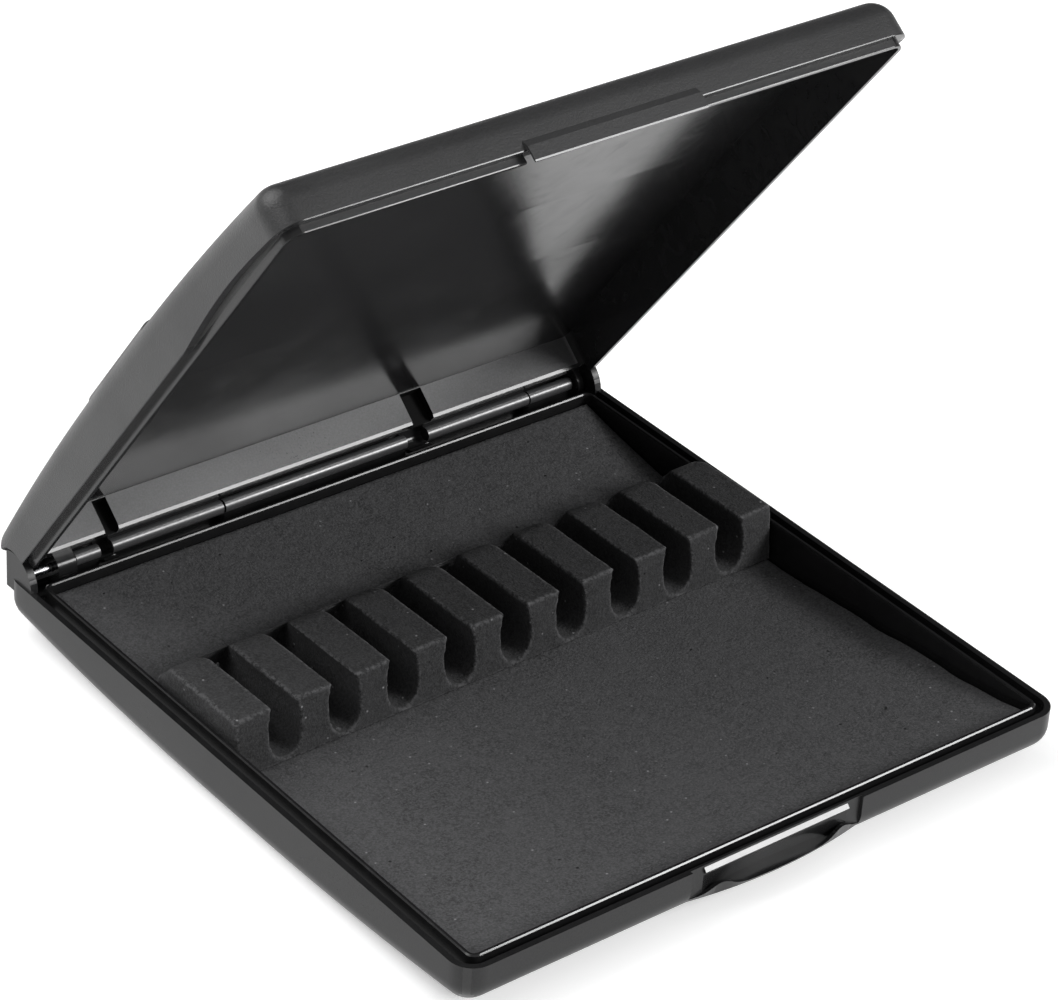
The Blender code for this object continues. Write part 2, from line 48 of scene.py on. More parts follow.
# --- the case, the same dimensions as the frame -------------------------------
HALF_X = 46.0
FRONT = -47.9
BACK = 47.9
RIM_Z = 7.8                 # the tray's rim above the flat land that it stands on
CORNER = 3.2                # corner radius in plan
EDGE = 3.0                  # radius between a wall and the domed face
TRAY_DOME = 0.0012          # rise per square millimetre beyond the flat land
LID_DOME = 0.001
LAND = 5.0
FLOOR = 1.2

WALL = 0.8
GROOVE = 1.3
LIP_TOP = RIM_Z + 0.3
LIP_X = 43.9
LIP_FRONT = -46.15
LIP_BACK = 42.4
LIP_WALL = 0.6
LIP_CORNER = 1.2
WELL_CORNER = 0.8
LIP_EASE = (0.14, 0.17)     # chamfers along the lip: how far in, and how far down

OPEN_ANGLE = 53.9           # how far the lid stands open, degrees
LID_RIM = RIM_Z + 0.2
LID_TOP = RIM_Z + 7.75
LID_SHORT = 0.3             # how much shorter than the tray the lid is at the back
RIM_TAPER = (0.05, 0.12)    # the last stretch of the lid's wall leans in: how far in, and how tall
TONGUE_END = RIM_Z - 0.8
TONGUE_X = 44.9
TONGUE_WALL = 0.65
TONGUE_FRONT = FRONT + 1.05
TONGUE_CORNER = 2.1
TONGUE_TAPER = (0.05, 0.13)
LID_INNER_X = TONGUE_X - TONGUE_WALL
LID_INNER_FRONT = TONGUE_FRONT + 0.5
LID_INNER_BACK = 42.35
INNER_EDGE = 0.05           # radius where the inner walls meet the roof
BACK_EDGE = RIM_Z + 0.6     # lower edge of the lid's thick back wall
BACK_DRAFT = 0.4            # how far the inner back wall leans in over its height
BACK_CHAMFER = (0.1, 0.22)  # along that wall's lower edge: how deep, and how tall
NOTCH_DEPTH = 0.85
NOTCH_FROM = -46.6
NOTCH_TO = -17.6

BAND_TOP = RIM_Z + 8.15     # the flat raised band across the roof
BAND_HALF = 9.4
BAND_RAMP = 0.4
BAND_SINK = 0.6
BAND_UNDERSIDE = ((4.0, 1.1), (2.0, 1.7))
BAND_SHOULDER = (1.1, 2.1, 1.6)     # where the rounded shoulder starts, its width and its height

AXIS_Y = 45.9
AXIS_Z = RIM_Z - 0.18
EAR_R = 4.0
EAR_IN = 44.75
EAR_OUT = 45.75
EAR_BACK = BACK - 0.25
EAR_CLEAR = 0.4
TROUGH_Z = RIM_Z - 3.4
BACK_WALL_TOP = RIM_Z - 2.4
BACK_WALL_CUT = 2.0         # how far in from the back the low stretch of the tray's wall is cut
KNUCKLE_R = 0.93
KNUCKLE_WEB = 0.8
KNUCKLE_OPEN = 30           # half the angle that a knuckle's web takes up, degrees
TRAY_KNUCKLES = ((-37.0, -33.4), (-14.2, 15.1), (35.95, 43.2))
LID_KNUCKLES = ((-31.5, -14.5), (18.6, 35.7))
RELIEF_R = 2.0
GAP_COVERS = ((-33.1, -31.0), (15.4, 18.9))
COVER_ANGLES = (-95, 45)
COVER_LEAN = -81.5          # where a cover's inside starts, so that its end faces up when open
COVER_IN = 1.25
COVER_OUT = 1.7
COVER_ROOT = 2.3
COVER_ROOT_ANGLES = (65, 50)
GAP_SLOT = 1.2              # depth of the slot in the lid's inner back wall above each gap
SLOT_UNDER_ROOF = 0.1       # what is left between a slot and the roof
LUG_R = 1.9
LUGS = ((-40.3, -37.6), (43.5, 44.4))
LUG_ROOT = AXIS_Z + RELIEF_R + 1.2
LUG_SLANT = 0.4
PIN_R = 0.55
PIN_HOLE_R = 0.65
PIN_EASE = 0.12
PINS = (("left", -45.3, -37.3), ("right", 42.5, 45.3))
PIN_ROOM = 0.2              # how much longer than its pin a bore is, at each end

CATCH_HALF = 13.2
RECESS = 0.45
RIDGE_HALF = 11.1
RIDGE_Z = RIM_Z - 0.8
RIDGE_DROPS = (0.2, 0.32, 0.95, 1.3)
RIDGE_REACHES = (0.02, 0.1)  # how far behind the front face its nose and lower corner lie
SCOOP_RADII = (14.5, 3.2)
SCOOP_OUT = 1.6
SCOOP_TOP = RIM_Z - 1.45
LEDGE_OUT = 1.25
LEDGE_Z = RIM_Z - 4.2
LEDGE_ROOT = 2.0
LEDGE_FOOT = 0.9
LEDGE_LIPS = ((0.4, 0.1), (0.8, -0.5))
LOBES = (-8.6, 10.2)
LOBE_HEIGHT = 1.1
LOBE_SPREAD = 1.9
LOBE_WALL = 0.5
TAB_HALF = 12.6
TAB_OUT = 0.55
TAB_IN = 0.25
TAB_TOP = RIM_Z + 1.4
TAB_BEND = RIM_Z + 0.5
TAB_END = RIM_Z - 1.5
TAB_TAPER = (0.08, 0.2)
TAB_ROOT_RISE = 0.3

SHEET_LOW = RIM_Z - 4.95
SHEET_CURL_FRONT = 0.0015   # rise per square millimetre in front of the strip
SHEET_CURL_BACK = 0.0028
SHEET_GAP = 0.2
STRIP_TURN = 1.1            # the strip lies a little askew, degrees
SLOTS = 9
SLOT_PITCH = 8.9
STRIP_HALF = 42.8
STRIP_FRONT = 2.65
STRIP_LEAN = 0.13
STRIP_BACK = 19.3
STRIP_TOP = RIM_Z + 3.0
STRIP_SLOPE = 0.7
SLOT_FLOOR = RIM_Z - 4.3
SLOT_HALVES = (             # a slot's half-width, and how far below the strip's top it is
    (1.7, 0.0), (2.05, 1.0), (2.3, 2.1), (2.36, 3.6), (2.25, 5.1), (1.9, 6.2), (1.1, 7.05),
)

SINK = 0.5                  # how far a part that is joined on reaches into its body
PAST = 1.0                  # how far a cutter reaches past what it cuts
SLIVER = 0.1                # a smaller reach, so that no two faces lie in one plane

# --- the foam's small shapes, which the frame leaves plain --------------------
SHEET_SWELLS = (                    # height, frequency, and layer of the noise
    (0.10, 0.05, 1.7), (0.035, 0.22, 4.1), (0.012, 0.9, 9.3),
)
SHEET_SOFT_EDGE = (0.55, 0.9)       # the cut edge is rounded: how far down, and over what width
RISE_WIDTH = 7.0                    # along the right wall the sheet rides up over this width
RISE_FULL = 12.0                    # and the rise is full this far in front of the middle
RISE_SWELL = (0.75, 0.5, 0.17, Vector((7.7, 0.0, 2.2)))     # mean, variation, frequency, place
WAVE_EDGE = 0.5                     # the right edge itself wanders, within this distance of it
WAVE_FRONT = -4.0                   # and in front of this line
WAVE = (0.35, 0.55, 0.21, Vector((3.3, 0.0, 0.4)))
EDGE_CELL = 0.22
EDGE_ROWS = 6                       # how many rows of cells get finer toward each edge
SHEET_CELLS = 230
SHEET_SHARP = 50
STRIP_VOXEL = 0.28
TOOTH_REACH = 2.6                   # the teeth are rounded over this much of their back ends
TOOTH_ROUND = 0.45
TOOTH_DROP = 0.7
TOOTH_RISE = (1.0, 2.5)             # it starts this far below the rim, and is full this much higher
LUMPS = (0.06, 0.25)                # height and frequency
GRAINS = (0.02, 1.3)
TUG = Vector((1.0, -0.6, 0.7))      # the direction in which lumps and grains push

# --- how finely the pieces are built ------------------------------------------
ARC_STEPS = 10
EDGE_STEPS = 10
SIDE_STEPS = 48
ROUND_STEPS = 48
SHOULDER_STEPS = 16
LEDGE_STEPS = 78
PIN_STEPS = 32
PIN_SHARP = 35
LEAST_CORNER = 0.3
SHARP = 10.5                # faces that meet at a larger angle than this keep a sharp edge, degrees

# --- which faces have which finish --------------------------------------------
# The satin plastic is lighter than the rest as painted sheen; the shaded one is near black and dull
# as painted shade.
POLISHED, SATIN_PAINTED_SHEEN, PAINTED_SHADE = 1, 2, 3   # places in a shell's material list, after its plain plastic
FACES_ALONG = 0.9           # a face whose normal has this much of a direction faces that way
FACES_FRONT = -0.98         # only an upright face has this much of the forward direction

# --- camera and light ---------------------------------------------------------
CAMERA_PLACE = (-0.2682, -0.31595, 0.2918)
CAMERA_RIGHT = (0.7858, -0.6158, 0.058)
CAMERA_AHEAD = (0.5447, 0.6445, -0.5366)
LENS = 137.64
SENSOR = 36.0
FLAG_TOWARD = (0.54, 0.64, 0.54)    # where the black flag would hang
FLAG_FADE = (0.62, 0.88)            # cosines from its edge to where it is darkest
ROOM_SHADE = 0.42
FLAG_SHADE = 0.05
LAMPS = (                           # name, target, direction, distance, width, height, radiance
    ("key", (0, -0.0475, 0.007), (0.565, -0.659, 0.496), 0.9, 0.33, 0.26, 25.5),
    ("fill", (-0.02, 0.044, 0.012), (0.50, -0.30, 0.81), 0.9, 0.22, 0.19, 1.5),
    ("top", (-0.1, 0.1, 0), (-0.43, 0.52, 0.93), 1.3, 1.6, 1.2, 3.5),
)


# --- meshes -------------------------------------------------------------------
def add_object(name, bm, *materials):
    """Turns a bmesh that is built in millimetres into a named object in metres."""
    bmesh.ops.scale(bm, vec=(MM, MM, MM), verts=bm.verts)
    bmesh.ops.recalc_face_normals(bm, faces=bm.faces)
    mesh = bpy.data.meshes.new(name)
    bm.to_mesh(mesh)
    bm.free()
    thing = bpy.data.objects.new(name, mesh)
    bpy.context.scene.collection.objects.link(thing)
    for material in materials:
        mesh.materials.append(material)
    return thing


def apply_modifiers(thing):
    """Bakes the modifiers into the mesh and removes the tools that they used."""
    tools = [m.object for m in thing.modifiers if m.type == "BOOLEAN"]
    graph = bpy.context.evaluated_depsgraph_get()
    mesh = bpy.data.meshes.new_from_object(thing.evaluated_get(graph))
    thing.modifiers.clear()
    old = thing.data
    thing.data = mesh
    bpy.data.meshes.remove(old)
    for tool in tools:
        bpy.data.objects.remove(tool, do_unlink=True)


def combine(thing, bm, operation):
    """Adds a Boolean with the given shape."""
    tool = add_object(f"{thing.name}_tool", bm)
    tool.hide_render = True
    modifier = thing.modifiers.new("join", "BOOLEAN")
    modifier.operation = operation
    modifier.object = tool
    modifier.solver = "EXACT"


def smooth(thing, degrees):
    """Shades the faces smoothly, except across edges that are sharper than the given angle."""
    thing.data.shade_smooth()
    thing.data.set_sharp_from_angle(angle=math.radians(degrees))


def beyond_land(y):
    return max(0.0, abs(y) - LAND)


def tray_bottom(y):
    return TRAY_DOME * beyond_land(y) ** 2


def lid_roof(y):
    return LID_TOP - LID_DOME * beyond_land(y) ** 2


def sheet_top(y):
    curl = SHEET_CURL_FRONT if y < STRIP_FRONT else SHEET_CURL_BACK
    return SHEET_LOW + curl * (y - STRIP_FRONT) ** 2


def left_side(half_x, front, back, radius):
    """The left half of a rectangle with rounded corners, from front to back."""
    path = []
    for step in range(ARC_STEPS + 1):
        angle = math.radians(90) * step / ARC_STEPS
        inward = radius * (1 - math.sin(angle))
        along = radius * (1 - math.cos(angle))
        path.append((-half_x + inward, front + along))
    straight = back - front - 2 * radius
    for step in range(1, SIDE_STEPS):
        path.append((-half_x, front + radius + straight * step / SIDE_STEPS))
    for step in range(ARC_STEPS + 1):
        angle = math.radians(90) * step / ARC_STEPS
        inward = radius * (1 - math.cos(angle))
        along = radius * (1 - math.sin(angle))
        path.append((-half_x + inward, back - along))
    return path


def add_ring(bm, half_x, front, back, radius, height):
    """A closed loop round that rectangle, at one height or at a height that depends on y."""
    left = left_side(half_x, front, back, radius)
    loop = left + [(-x, y) for x, y in reversed(left)]
    return [bm.verts.new((x, y, height(y) if callable(height) else height)) for x, y in loop]


def join_rings(bm, lower, upper):
    for i in range(len(lower)):
        j = (i + 1) % len(lower)
        bm.faces.new((lower[i], lower[j], upper[j], upper[i]))


def cap_ring(bm, ring):
    """Closes a ring with a strip of faces from its left side to its right side."""
    count = len(ring)
    for i in range(count // 2 - 1):
        bm.faces.new((ring[i], ring[i + 1], ring[count - 2 - i], ring[count - 1 - i]))


def loft(rings):
    bm = bmesh.new()
    loops = [add_ring(bm, *ring) for ring in rings]
    for lower, upper in zip(loops, loops[1:]):
        join_rings(bm, lower, upper)
    cap_ring(bm, loops[0])
    cap_ring(bm, loops[-1])
    return bm


def edge_rings(half_x, front, back, corner, radius, surface, sign, inward):
    """The rings of a rounded edge between a wall and the given surface."""
    rings = []
    for step in range(EDGE_STEPS + 1):
        angle = math.radians(90) * step / EDGE_STEPS
        inset = radius * (1 - math.sin(angle))
        drop = radius * (1 - math.cos(angle))
        turn = max(corner - inset, LEAST_CORNER)
        rings.append((half_x - inset, front + inset, back - inset, turn,
                      lambda y, drop=drop: surface(y) - sign * drop))
    return list(reversed(rings)) if inward else rings


def box(low, high):
    bm = bmesh.new()
    size = Vector(high) - Vector(low)
    place = Matrix.Translation(Vector(low) + size / 2) @ Matrix.Diagonal((*size, 1))
    bmesh.ops.create_cube(bm, size=1.0, matrix=place)
    return bm


def rod(x_from, x_to, radius, steps=ROUND_STEPS):
    """A cylinder on the hinge axis."""
    bm = bmesh.new()
    middle = Matrix.Translation(((x_from + x_to) / 2, AXIS_Y, AXIS_Z))
    place = middle @ Matrix.Rotation(math.pi / 2, 4, "Y")
    bmesh.ops.create_cone(bm, cap_ends=True, segments=steps, radius1=radius, radius2=radius,
                          depth=abs(x_to - x_from), matrix=place)
    return bm


def side_span(side, inner, outer):
    return sorted((side * inner, side * outer))


def prism(outline, x_from, x_to):
    """A (y, z) outline drawn out along x."""
    bm = bmesh.new()
    face = bm.faces.new([bm.verts.new((x_from, y, z)) for y, z in outline])
    extruded = bmesh.ops.extrude_face_region(bm, geom=[face])["geom"]
    moved = [item for item in extruded if isinstance(item, bmesh.types.BMVert)]
    bmesh.ops.translate(bm, verts=moved, vec=(x_to - x_from, 0, 0))
    return bm


# --- the tray -----------------------------------------------------------------
def tray_shell():
    lip = (LIP_X, LIP_FRONT, LIP_BACK, LIP_CORNER)
    well = (LIP_X - LIP_WALL, LIP_FRONT + LIP_WALL, LIP_BACK - LIP_WALL, WELL_CORNER)
    inward, down = LIP_EASE
    rings = edge_rings(HALF_X, FRONT, BACK, CORNER, EDGE, tray_bottom, -1, False)
    rings += [
        (HALF_X, FRONT, BACK, CORNER, RIM_Z),
        (HALF_X - WALL, FRONT + WALL, BACK - WALL, CORNER - WALL, RIM_Z),
        (HALF_X - WALL, FRONT + WALL, BACK - WALL, CORNER - WALL, RIM_Z - GROOVE),
        (*lip, RIM_Z - GROOVE),
        (*lip, LIP_TOP - down),
        (LIP_X - inward, LIP_FRONT + inward, LIP_BACK - inward, LIP_CORNER, LIP_TOP),
        (well[0] + inward, well[1] - inward, well[2] + inward, WELL_CORNER, LIP_TOP),
        (*well, LIP_TOP - down),
        (*well, lambda y: tray_bottom(y) + FLOOR),
    ]
    return loft(rings)


def ear(side):
    """A corner ear: a half disc about the hinge axis on a straight foot, flat at the back."""
    outline = []
    for step in range(ROUND_STEPS + 1):
        angle = math.pi * step / ROUND_STEPS
        reach = min(AXIS_Y + EAR_R * math.cos(angle), EAR_BACK)
        outline.append((reach, AXIS_Z + EAR_R * math.sin(angle)))
    foot = RIM_Z - GROOVE - SINK
    outline += [(AXIS_Y - EAR_R, foot), (EAR_BACK, foot)]
    bm = prism(outline, *side_span(side, EAR_IN, EAR_OUT))
    bmesh.ops.remove_doubles(bm, verts=bm.verts, dist=0.001)
    return bm


def knuckle(x_from, x_to, below):
    """A barrel on the hinge axis, with a web down to the tray or up to the lid."""
    half = KNUCKLE_WEB / 2
    towards = -1 if below else 1
    end = TROUGH_Z - SINK if below else AXIS_Z + RELIEF_R + SINK
    outline = []
    for step in range(ROUND_STEPS):
        angle = math.radians(KNUCKLE_OPEN + (360 - 2 * KNUCKLE_OPEN) * step / (ROUND_STEPS - 1))
        along = towards * KNUCKLE_R * math.cos(angle)
        across = towards * KNUCKLE_R * math.sin(angle)
        outline.append((AXIS_Y + across, AXIS_Z + along))
    outline += [(AXIS_Y - towards * half, end), (AXIS_Y + towards * half, end)]
    return prism(outline, x_from, x_to)


def scoop():
    """The cutter for the thumb scoop: an upright elliptical drum that bites into the front wall."""
    bm = bmesh.new()
    middle = Matrix.Translation((0, FRONT - SCOOP_OUT, (SCOOP_TOP + LEDGE_Z) / 2))
    place = middle @ Matrix.Diagonal((*SCOOP_RADII, 1, 1))
    bmesh.ops.create_cone(bm, cap_ends=True, segments=4 * ROUND_STEPS, radius1=1, radius2=1,
                          depth=SCOOP_TOP - LEDGE_Z, matrix=place)
    return bm


def ledge():
    """The bowed shelf under the scoop, with a raised lobe near each end of its front edge."""
    bm = bmesh.new()
    loops = []
    (upper_in, upper_up), (lower_in, lower_up) = LEDGE_LIPS
    root = FRONT + LEDGE_ROOT
    for step in range(LEDGE_STEPS + 1):
        x = CATCH_HALF * (2 * step / LEDGE_STEPS - 1)
        front = FRONT - LEDGE_OUT * (1 - (x / CATCH_HALF) ** 2)
        top = LEDGE_Z + upper_up
        for middle in LOBES:
            top += LOBE_HEIGHT * math.exp(-((x - middle) / LOBE_SPREAD) ** 2)
        section = (
            (root, LEDGE_Z),
            (front + upper_in + LOBE_WALL, LEDGE_Z),
            (front + upper_in + LOBE_WALL, top),
            (front + upper_in, top),
            (front + lower_in, LEDGE_Z + lower_up),
            (root, LEDGE_Z - LEDGE_FOOT),
        )
        loops.append([bm.verts.new((x, y, z)) for y, z in section])
    for one, two in zip(loops, loops[1:]):
        join_rings(bm, one, two)
    bm.faces.new(loops[0])
    bm.faces.new(loops[-1])
    return bm


def catch_ridge():
    """The ridge that the snap tab hooks under."""
    root, shoulder, nose, under = RIDGE_DROPS
    nose_reach, lower_reach = RIDGE_REACHES
    inner = FRONT + RECESS + 2 * SLIVER
    outline = [
        (inner, RIM_Z - root),
        (FRONT + RECESS, RIM_Z - shoulder),
        (FRONT + nose_reach, RIDGE_Z),
        (FRONT + lower_reach, RIM_Z - nose),
        (inner, RIM_Z - under),
    ]
    return prism(outline, -RIDGE_HALF, RIDGE_HALF)


def build_tray(*materials):
    tray = add_object("tray_shell", tray_shell(), *materials)
    above = RIM_Z + 2 * PAST
    trough = box((-EAR_IN, LIP_BACK, TROUGH_Z), (EAR_IN, BACK - WALL, above))
    combine(tray, trough, "DIFFERENCE")
    back_wall = box((-EAR_IN, BACK - BACK_WALL_CUT, BACK_WALL_TOP), (EAR_IN, BACK + PAST, above))
    combine(tray, back_wall, "DIFFERENCE")
    for side in (-1, 1):
        combine(tray, ear(side), "UNION")
    for x_from, x_to in TRAY_KNUCKLES:
        combine(tray, knuckle(x_from, x_to, True), "UNION")
    for _, x_from, x_to in PINS:
        combine(tray, rod(x_from - PIN_ROOM, x_to + PIN_ROOM, PIN_HOLE_R), "DIFFERENCE")
    recess = box((-CATCH_HALF, FRONT - PAST, LEDGE_Z), (CATCH_HALF, FRONT + RECESS, RIM_Z + PAST))
    combine(tray, recess, "DIFFERENCE")
    combine(tray, scoop(), "DIFFERENCE")
    combine(tray, ledge(), "UNION")
    combine(tray, catch_ridge(), "UNION")
    apply_modifiers(tray)
    smooth(tray, SHARP)
    polish(tray, tray_is_polished)
    return tray


def tray_is_polished(x, y, z, normal):
    """The rim and all that lies inside the outer wall, and the ridge and the scoop of the catch."""
    upward = normal.z > FACES_ALONG
    within = abs(x) < HALF_X - WALL + 0.03 and FRONT + WALL - 0.03 < y < BACK - WALL + 0.03
    inside = within and z > tray_bottom(y) + FLOOR - SLIVER
    rim = z > RIM_Z - 0.02 and upward
    near_front = y < FRONT + LEDGE_ROOT
    shelf = abs(x) < CATCH_HALF and near_front and upward
    recess_back = abs(y - FRONT - RECESS) < 0.02
    catch_high = LEDGE_Z - 0.05 < z < RIM_Z
    catch = abs(x) < RIDGE_HALF + 0.9 and FRONT + 0.01 < y and near_front and catch_high
    return inside or rim or shelf or (catch and not recess_back)


# --- the lid ------------------------------------------------------------------
def lid_body():
    """The lid's shell, closed: domed roof, walls, rim, tongue and inside."""
    inner = (LID_INNER_X, LID_INNER_FRONT, LID_INNER_BACK, LIP_CORNER)
    tongue = (TONGUE_X, TONGUE_FRONT, BACK - WALL, TONGUE_CORNER)
    back = BACK - LID_SHORT
    lean, lean_height = RIM_TAPER
    thin, thin_height = TONGUE_TAPER
    rings = edge_rings(HALF_X, FRONT, back, CORNER, EDGE, lid_roof, 1, False)
    rings += [
        (HALF_X, FRONT, back, CORNER, LID_RIM + lean_height),
        (HALF_X - lean, FRONT + lean, back - lean, CORNER - lean, LID_RIM),
        (*tongue, LID_RIM),
        (*tongue, TONGUE_END + thin_height),
        (TONGUE_X - thin, TONGUE_FRONT + thin, tongue[2] - thin, TONGUE_CORNER - thin, TONGUE_END),
        (*inner, TONGUE_END),
    ]
    top = (LID_INNER_X, LID_INNER_FRONT, LID_INNER_BACK - BACK_DRAFT, LIP_CORNER)
    rings += edge_rings(*top, INNER_EDGE, lambda y: lid_roof(y) - FLOOR, 1, True)
    return loft(rings)


def back_chamfer():
    """The cutter for a narrow chamfer along the lower edge of the lid's inner back wall."""
    deep, tall = BACK_CHAMFER
    front = LID_INNER_BACK - 3 * SLIVER
    below = BACK_EDGE - 2 * SLIVER
    above = BACK_EDGE + tall + 2 * SLIVER
    outline = [
        (front, below),
        (front, above),
        (LID_INNER_BACK - 0.4 * deep, above),
        (LID_INNER_BACK + deep, BACK_EDGE),
        (LID_INNER_BACK + deep, below),
    ]
    return prism(outline, -LID_INNER_X, LID_INNER_X)


def band():
    """The flat raised band across the roof, with rounded shoulders at its two ends."""
    bm = bmesh.new()
    loops = []
    low_edge = (BAND_HALF + BAND_RAMP, BAND_SINK)
    high_edge = (BAND_HALF, 0.0)
    start, width, height = BAND_SHOULDER
    sections = ((-1, low_edge), (-1, high_edge), (1, high_edge), (1, low_edge))
    for end, (reach, drop) in sections:
        section = [(-HALF_X + inset, BAND_TOP - depth) for inset, depth in BAND_UNDERSIDE]
        for step in range(SHOULDER_STEPS + 1):
            angle = math.radians(90) * step / SHOULDER_STEPS
            inset = start + width * (1 - math.cos(angle))
            section.append((-HALF_X + inset, BAND_TOP - drop - height * (1 - math.sin(angle))))
        full = section + [(-x, z) for x, z in reversed(section)]
        loops.append([bm.verts.new((x, end * reach, z)) for x, z in full])
    for one, two in zip(loops, loops[1:]):
        join_rings(bm, one, two)
    bm.faces.new(loops[0])
    bm.faces.new(loops[-1])
    return bm


def about_axis(radius, degrees):
    """A (y, z) point at an angle round the hinge axis."""
    angle = math.radians(degrees)
    return (AXIS_Y + radius * math.cos(angle), AXIS_Z + radius * math.sin(angle))


def gap_cover(x_from, x_to):
    """A thin curved wall behind the hinge line, where neither shell has a knuckle."""
    steps = ROUND_STEPS // 2
    low, high = COVER_ANGLES
    outline = [about_axis(COVER_ROOT, angle) for angle in COVER_ROOT_ANGLES]
    for step in range(steps + 1):
        outline.append(about_axis(COVER_OUT, high + (low - high) * step / steps))
    for step in range(steps + 1):
        outline.append(about_axis(COVER_IN, COVER_LEAN + (high - COVER_LEAN) * step / steps))
    return prism(outline, x_from, x_to)


def finger_notch(side):
    """The cutter for the long shallow notch in a side wall's lower edge."""
    arc = []
    for step in range(SIDE_STEPS + 1):
        y = NOTCH_FROM + (NOTCH_TO - NOTCH_FROM) * step / SIDE_STEPS
        arc.append((y, LID_RIM + NOTCH_DEPTH * math.sin(math.pi * step / SIDE_STEPS)))
    outline = arc + [(NOTCH_TO, LID_RIM - SINK), (NOTCH_FROM, LID_RIM - SINK)]
    return prism(outline, *side_span(side, TONGUE_X + 0.02, HALF_X + PAST))


def lug(x_from, x_to):
    """A round-ended lug of the lid on the hinge axis."""
    steps = ROUND_STEPS // 2
    outline = []
    for step in range(steps + 1):
        angle = math.pi + math.pi * step / steps
        outline.append((AXIS_Y + LUG_R * math.cos(angle), AXIS_Z + LUG_R * math.sin(angle)))
    outline += [(AXIS_Y + LUG_R - LUG_SLANT, LUG_ROOT), (AXIS_Y - LUG_R, LUG_ROOT)]
    return prism(outline, x_from, x_to)


def tab():
    """The snap tab on the lid's front."""
    taper, taper_height = TAB_TAPER
    outer = FRONT - TAB_OUT
    inner = FRONT - TAB_IN
    root = FRONT + SINK
    outline = [
        (root, TAB_TOP + TAB_ROOT_RISE),
        (FRONT - 0.02, TAB_TOP),
        (outer, TAB_BEND),
        (outer, TAB_END + taper_height),
        (outer + taper, TAB_END),
        (inner, TAB_END),
        (inner, LID_RIM + SLIVER),
        (root, LID_RIM + SLIVER),
    ]
    return prism(outline, -TAB_HALF, TAB_HALF)


def slot_top():
    return lid_roof(LID_INNER_BACK) - FLOOR - SLOT_UNDER_ROOF


def gap_slot(x_from, x_to):
    """The cutter for the slot in the lid's inner back wall above a gap between knuckles."""
    low = (x_from, LID_INNER_BACK - PAST, BACK_EDGE - SLIVER)
    return box(low, (x_to, LID_INNER_BACK + GAP_SLOT, slot_top()))


def in_gap_slot(x, y, z):
    """Whether a point is on the walls of those slots."""
    near = 0.05
    beside = any(x_from - near < x < x_to + near for x_from, x_to in GAP_COVERS)
    deep = LID_INNER_BACK + 3 * near < y < LID_INNER_BACK + GAP_SLOT + near
    return beside and deep and BACK_EDGE < z < slot_top() + near


def build_lid(*materials):
    lid = add_object("lid_cover", lid_body(), *materials)
    combine(lid, band(), "UNION")
    low_back = box((-HALF_X - PAST, AXIS_Y - EAR_R - EAR_CLEAR, TONGUE_END - PAST),
                   (HALF_X + PAST, BACK + PAST, BACK_EDGE))
    combine(lid, low_back, "DIFFERENCE")
    combine(lid, back_chamfer(), "DIFFERENCE")
    combine(lid, rod(-EAR_IN + SLIVER, EAR_IN - SLIVER, RELIEF_R), "DIFFERENCE")
    for side in (-1, 1):
        span = side_span(side, EAR_IN - EAR_CLEAR, HALF_X + PAST)
        room = rod(*span, EAR_R + EAR_CLEAR, 2 * ROUND_STEPS)
        combine(lid, room, "DIFFERENCE")
        combine(lid, finger_notch(side), "DIFFERENCE")
    tongue_gap = box((-TAB_HALF, TONGUE_FRONT - SINK, TONGUE_END - PAST),
                     (TAB_HALF, LID_INNER_FRONT + SLIVER, LID_RIM))
    combine(lid, tongue_gap, "DIFFERENCE")
    for x_from, x_to in LID_KNUCKLES:
        combine(lid, knuckle(x_from, x_to, False), "UNION")
    for x_from, x_to in GAP_COVERS:
        combine(lid, gap_cover(x_from, x_to), "UNION")
        combine(lid, gap_slot(x_from, x_to), "DIFFERENCE")
    for x_from, x_to in LUGS:
        combine(lid, lug(x_from, x_to), "UNION")
        combine(lid, rod(x_from - SINK, x_to + SINK, PIN_HOLE_R), "DIFFERENCE")
    combine(lid, tab(), "UNION")
    apply_modifiers(lid)
    smooth(lid, SHARP)
    polish(lid, lid_is_polished)
    open_up(lid)
    return lid


def lid_is_polished(x, y, z, normal):
    """The inside, all that is as low as the rim except front faces, and the snap tab's end."""
    within = abs(x) < LID_INNER_X + 0.05 and LID_INNER_FRONT - 0.05 < y
    inside = within and z < lid_roof(y) - FLOOR + SLIVER
    tab_end = y < FRONT + SLIVER and z < TAB_END + TAB_TAPER[1]
    front_face = normal.y < FACES_FRONT and y < LID_INNER_FRONT
    rim = y > FRONT - 0.01 and z < LID_RIM + RIM_TAPER[1] and not front_face
    return inside or tab_end or rim


def polish(thing, is_polished):
    """Gives the slots above the gaps a near-black, dull plastic as painted shade, the hinge's
    barrels and back wall a satin plastic with a lighter colour as painted sheen, and the polished
    faces their finish.
    """
    for face in thing.data.polygons:
        x, y, z = face.center / MM
        from_axis = math.hypot(y - AXIS_Y, z - AXIS_Z)
        barrel = abs(from_axis - KNUCKLE_R) < 0.04 and abs(face.normal.x) < 0.1
        on_back_wall = abs(y - LID_INNER_BACK) < BACK_DRAFT and z > BACK_EDGE + 0.5
        back_wall = on_back_wall and face.normal.y < -FACES_ALONG
        # The slots' walls get the near-black, dull plastic: painted shade.
        if in_gap_slot(x, y, z):
            face.material_index = PAINTED_SHADE
        # The barrels and the back wall get the satin plastic, whose lighter colour is painted
        # sheen.
        elif barrel or back_wall:
            face.material_index = SATIN_PAINTED_SHEEN
        elif is_polished(x, y, z, face.normal):
            face.material_index = POLISHED


def open_up(thing):
    """Turns a thing that is built closed open about the hinge axis."""
    axis = Vector((0, AXIS_Y, AXIS_Z)) * MM
    turn = Matrix.Rotation(-math.radians(OPEN_ANGLE), 4, "X")
    thing.data.transform(Matrix.Translation(axis) @ turn @ Matrix.Translation(-axis))


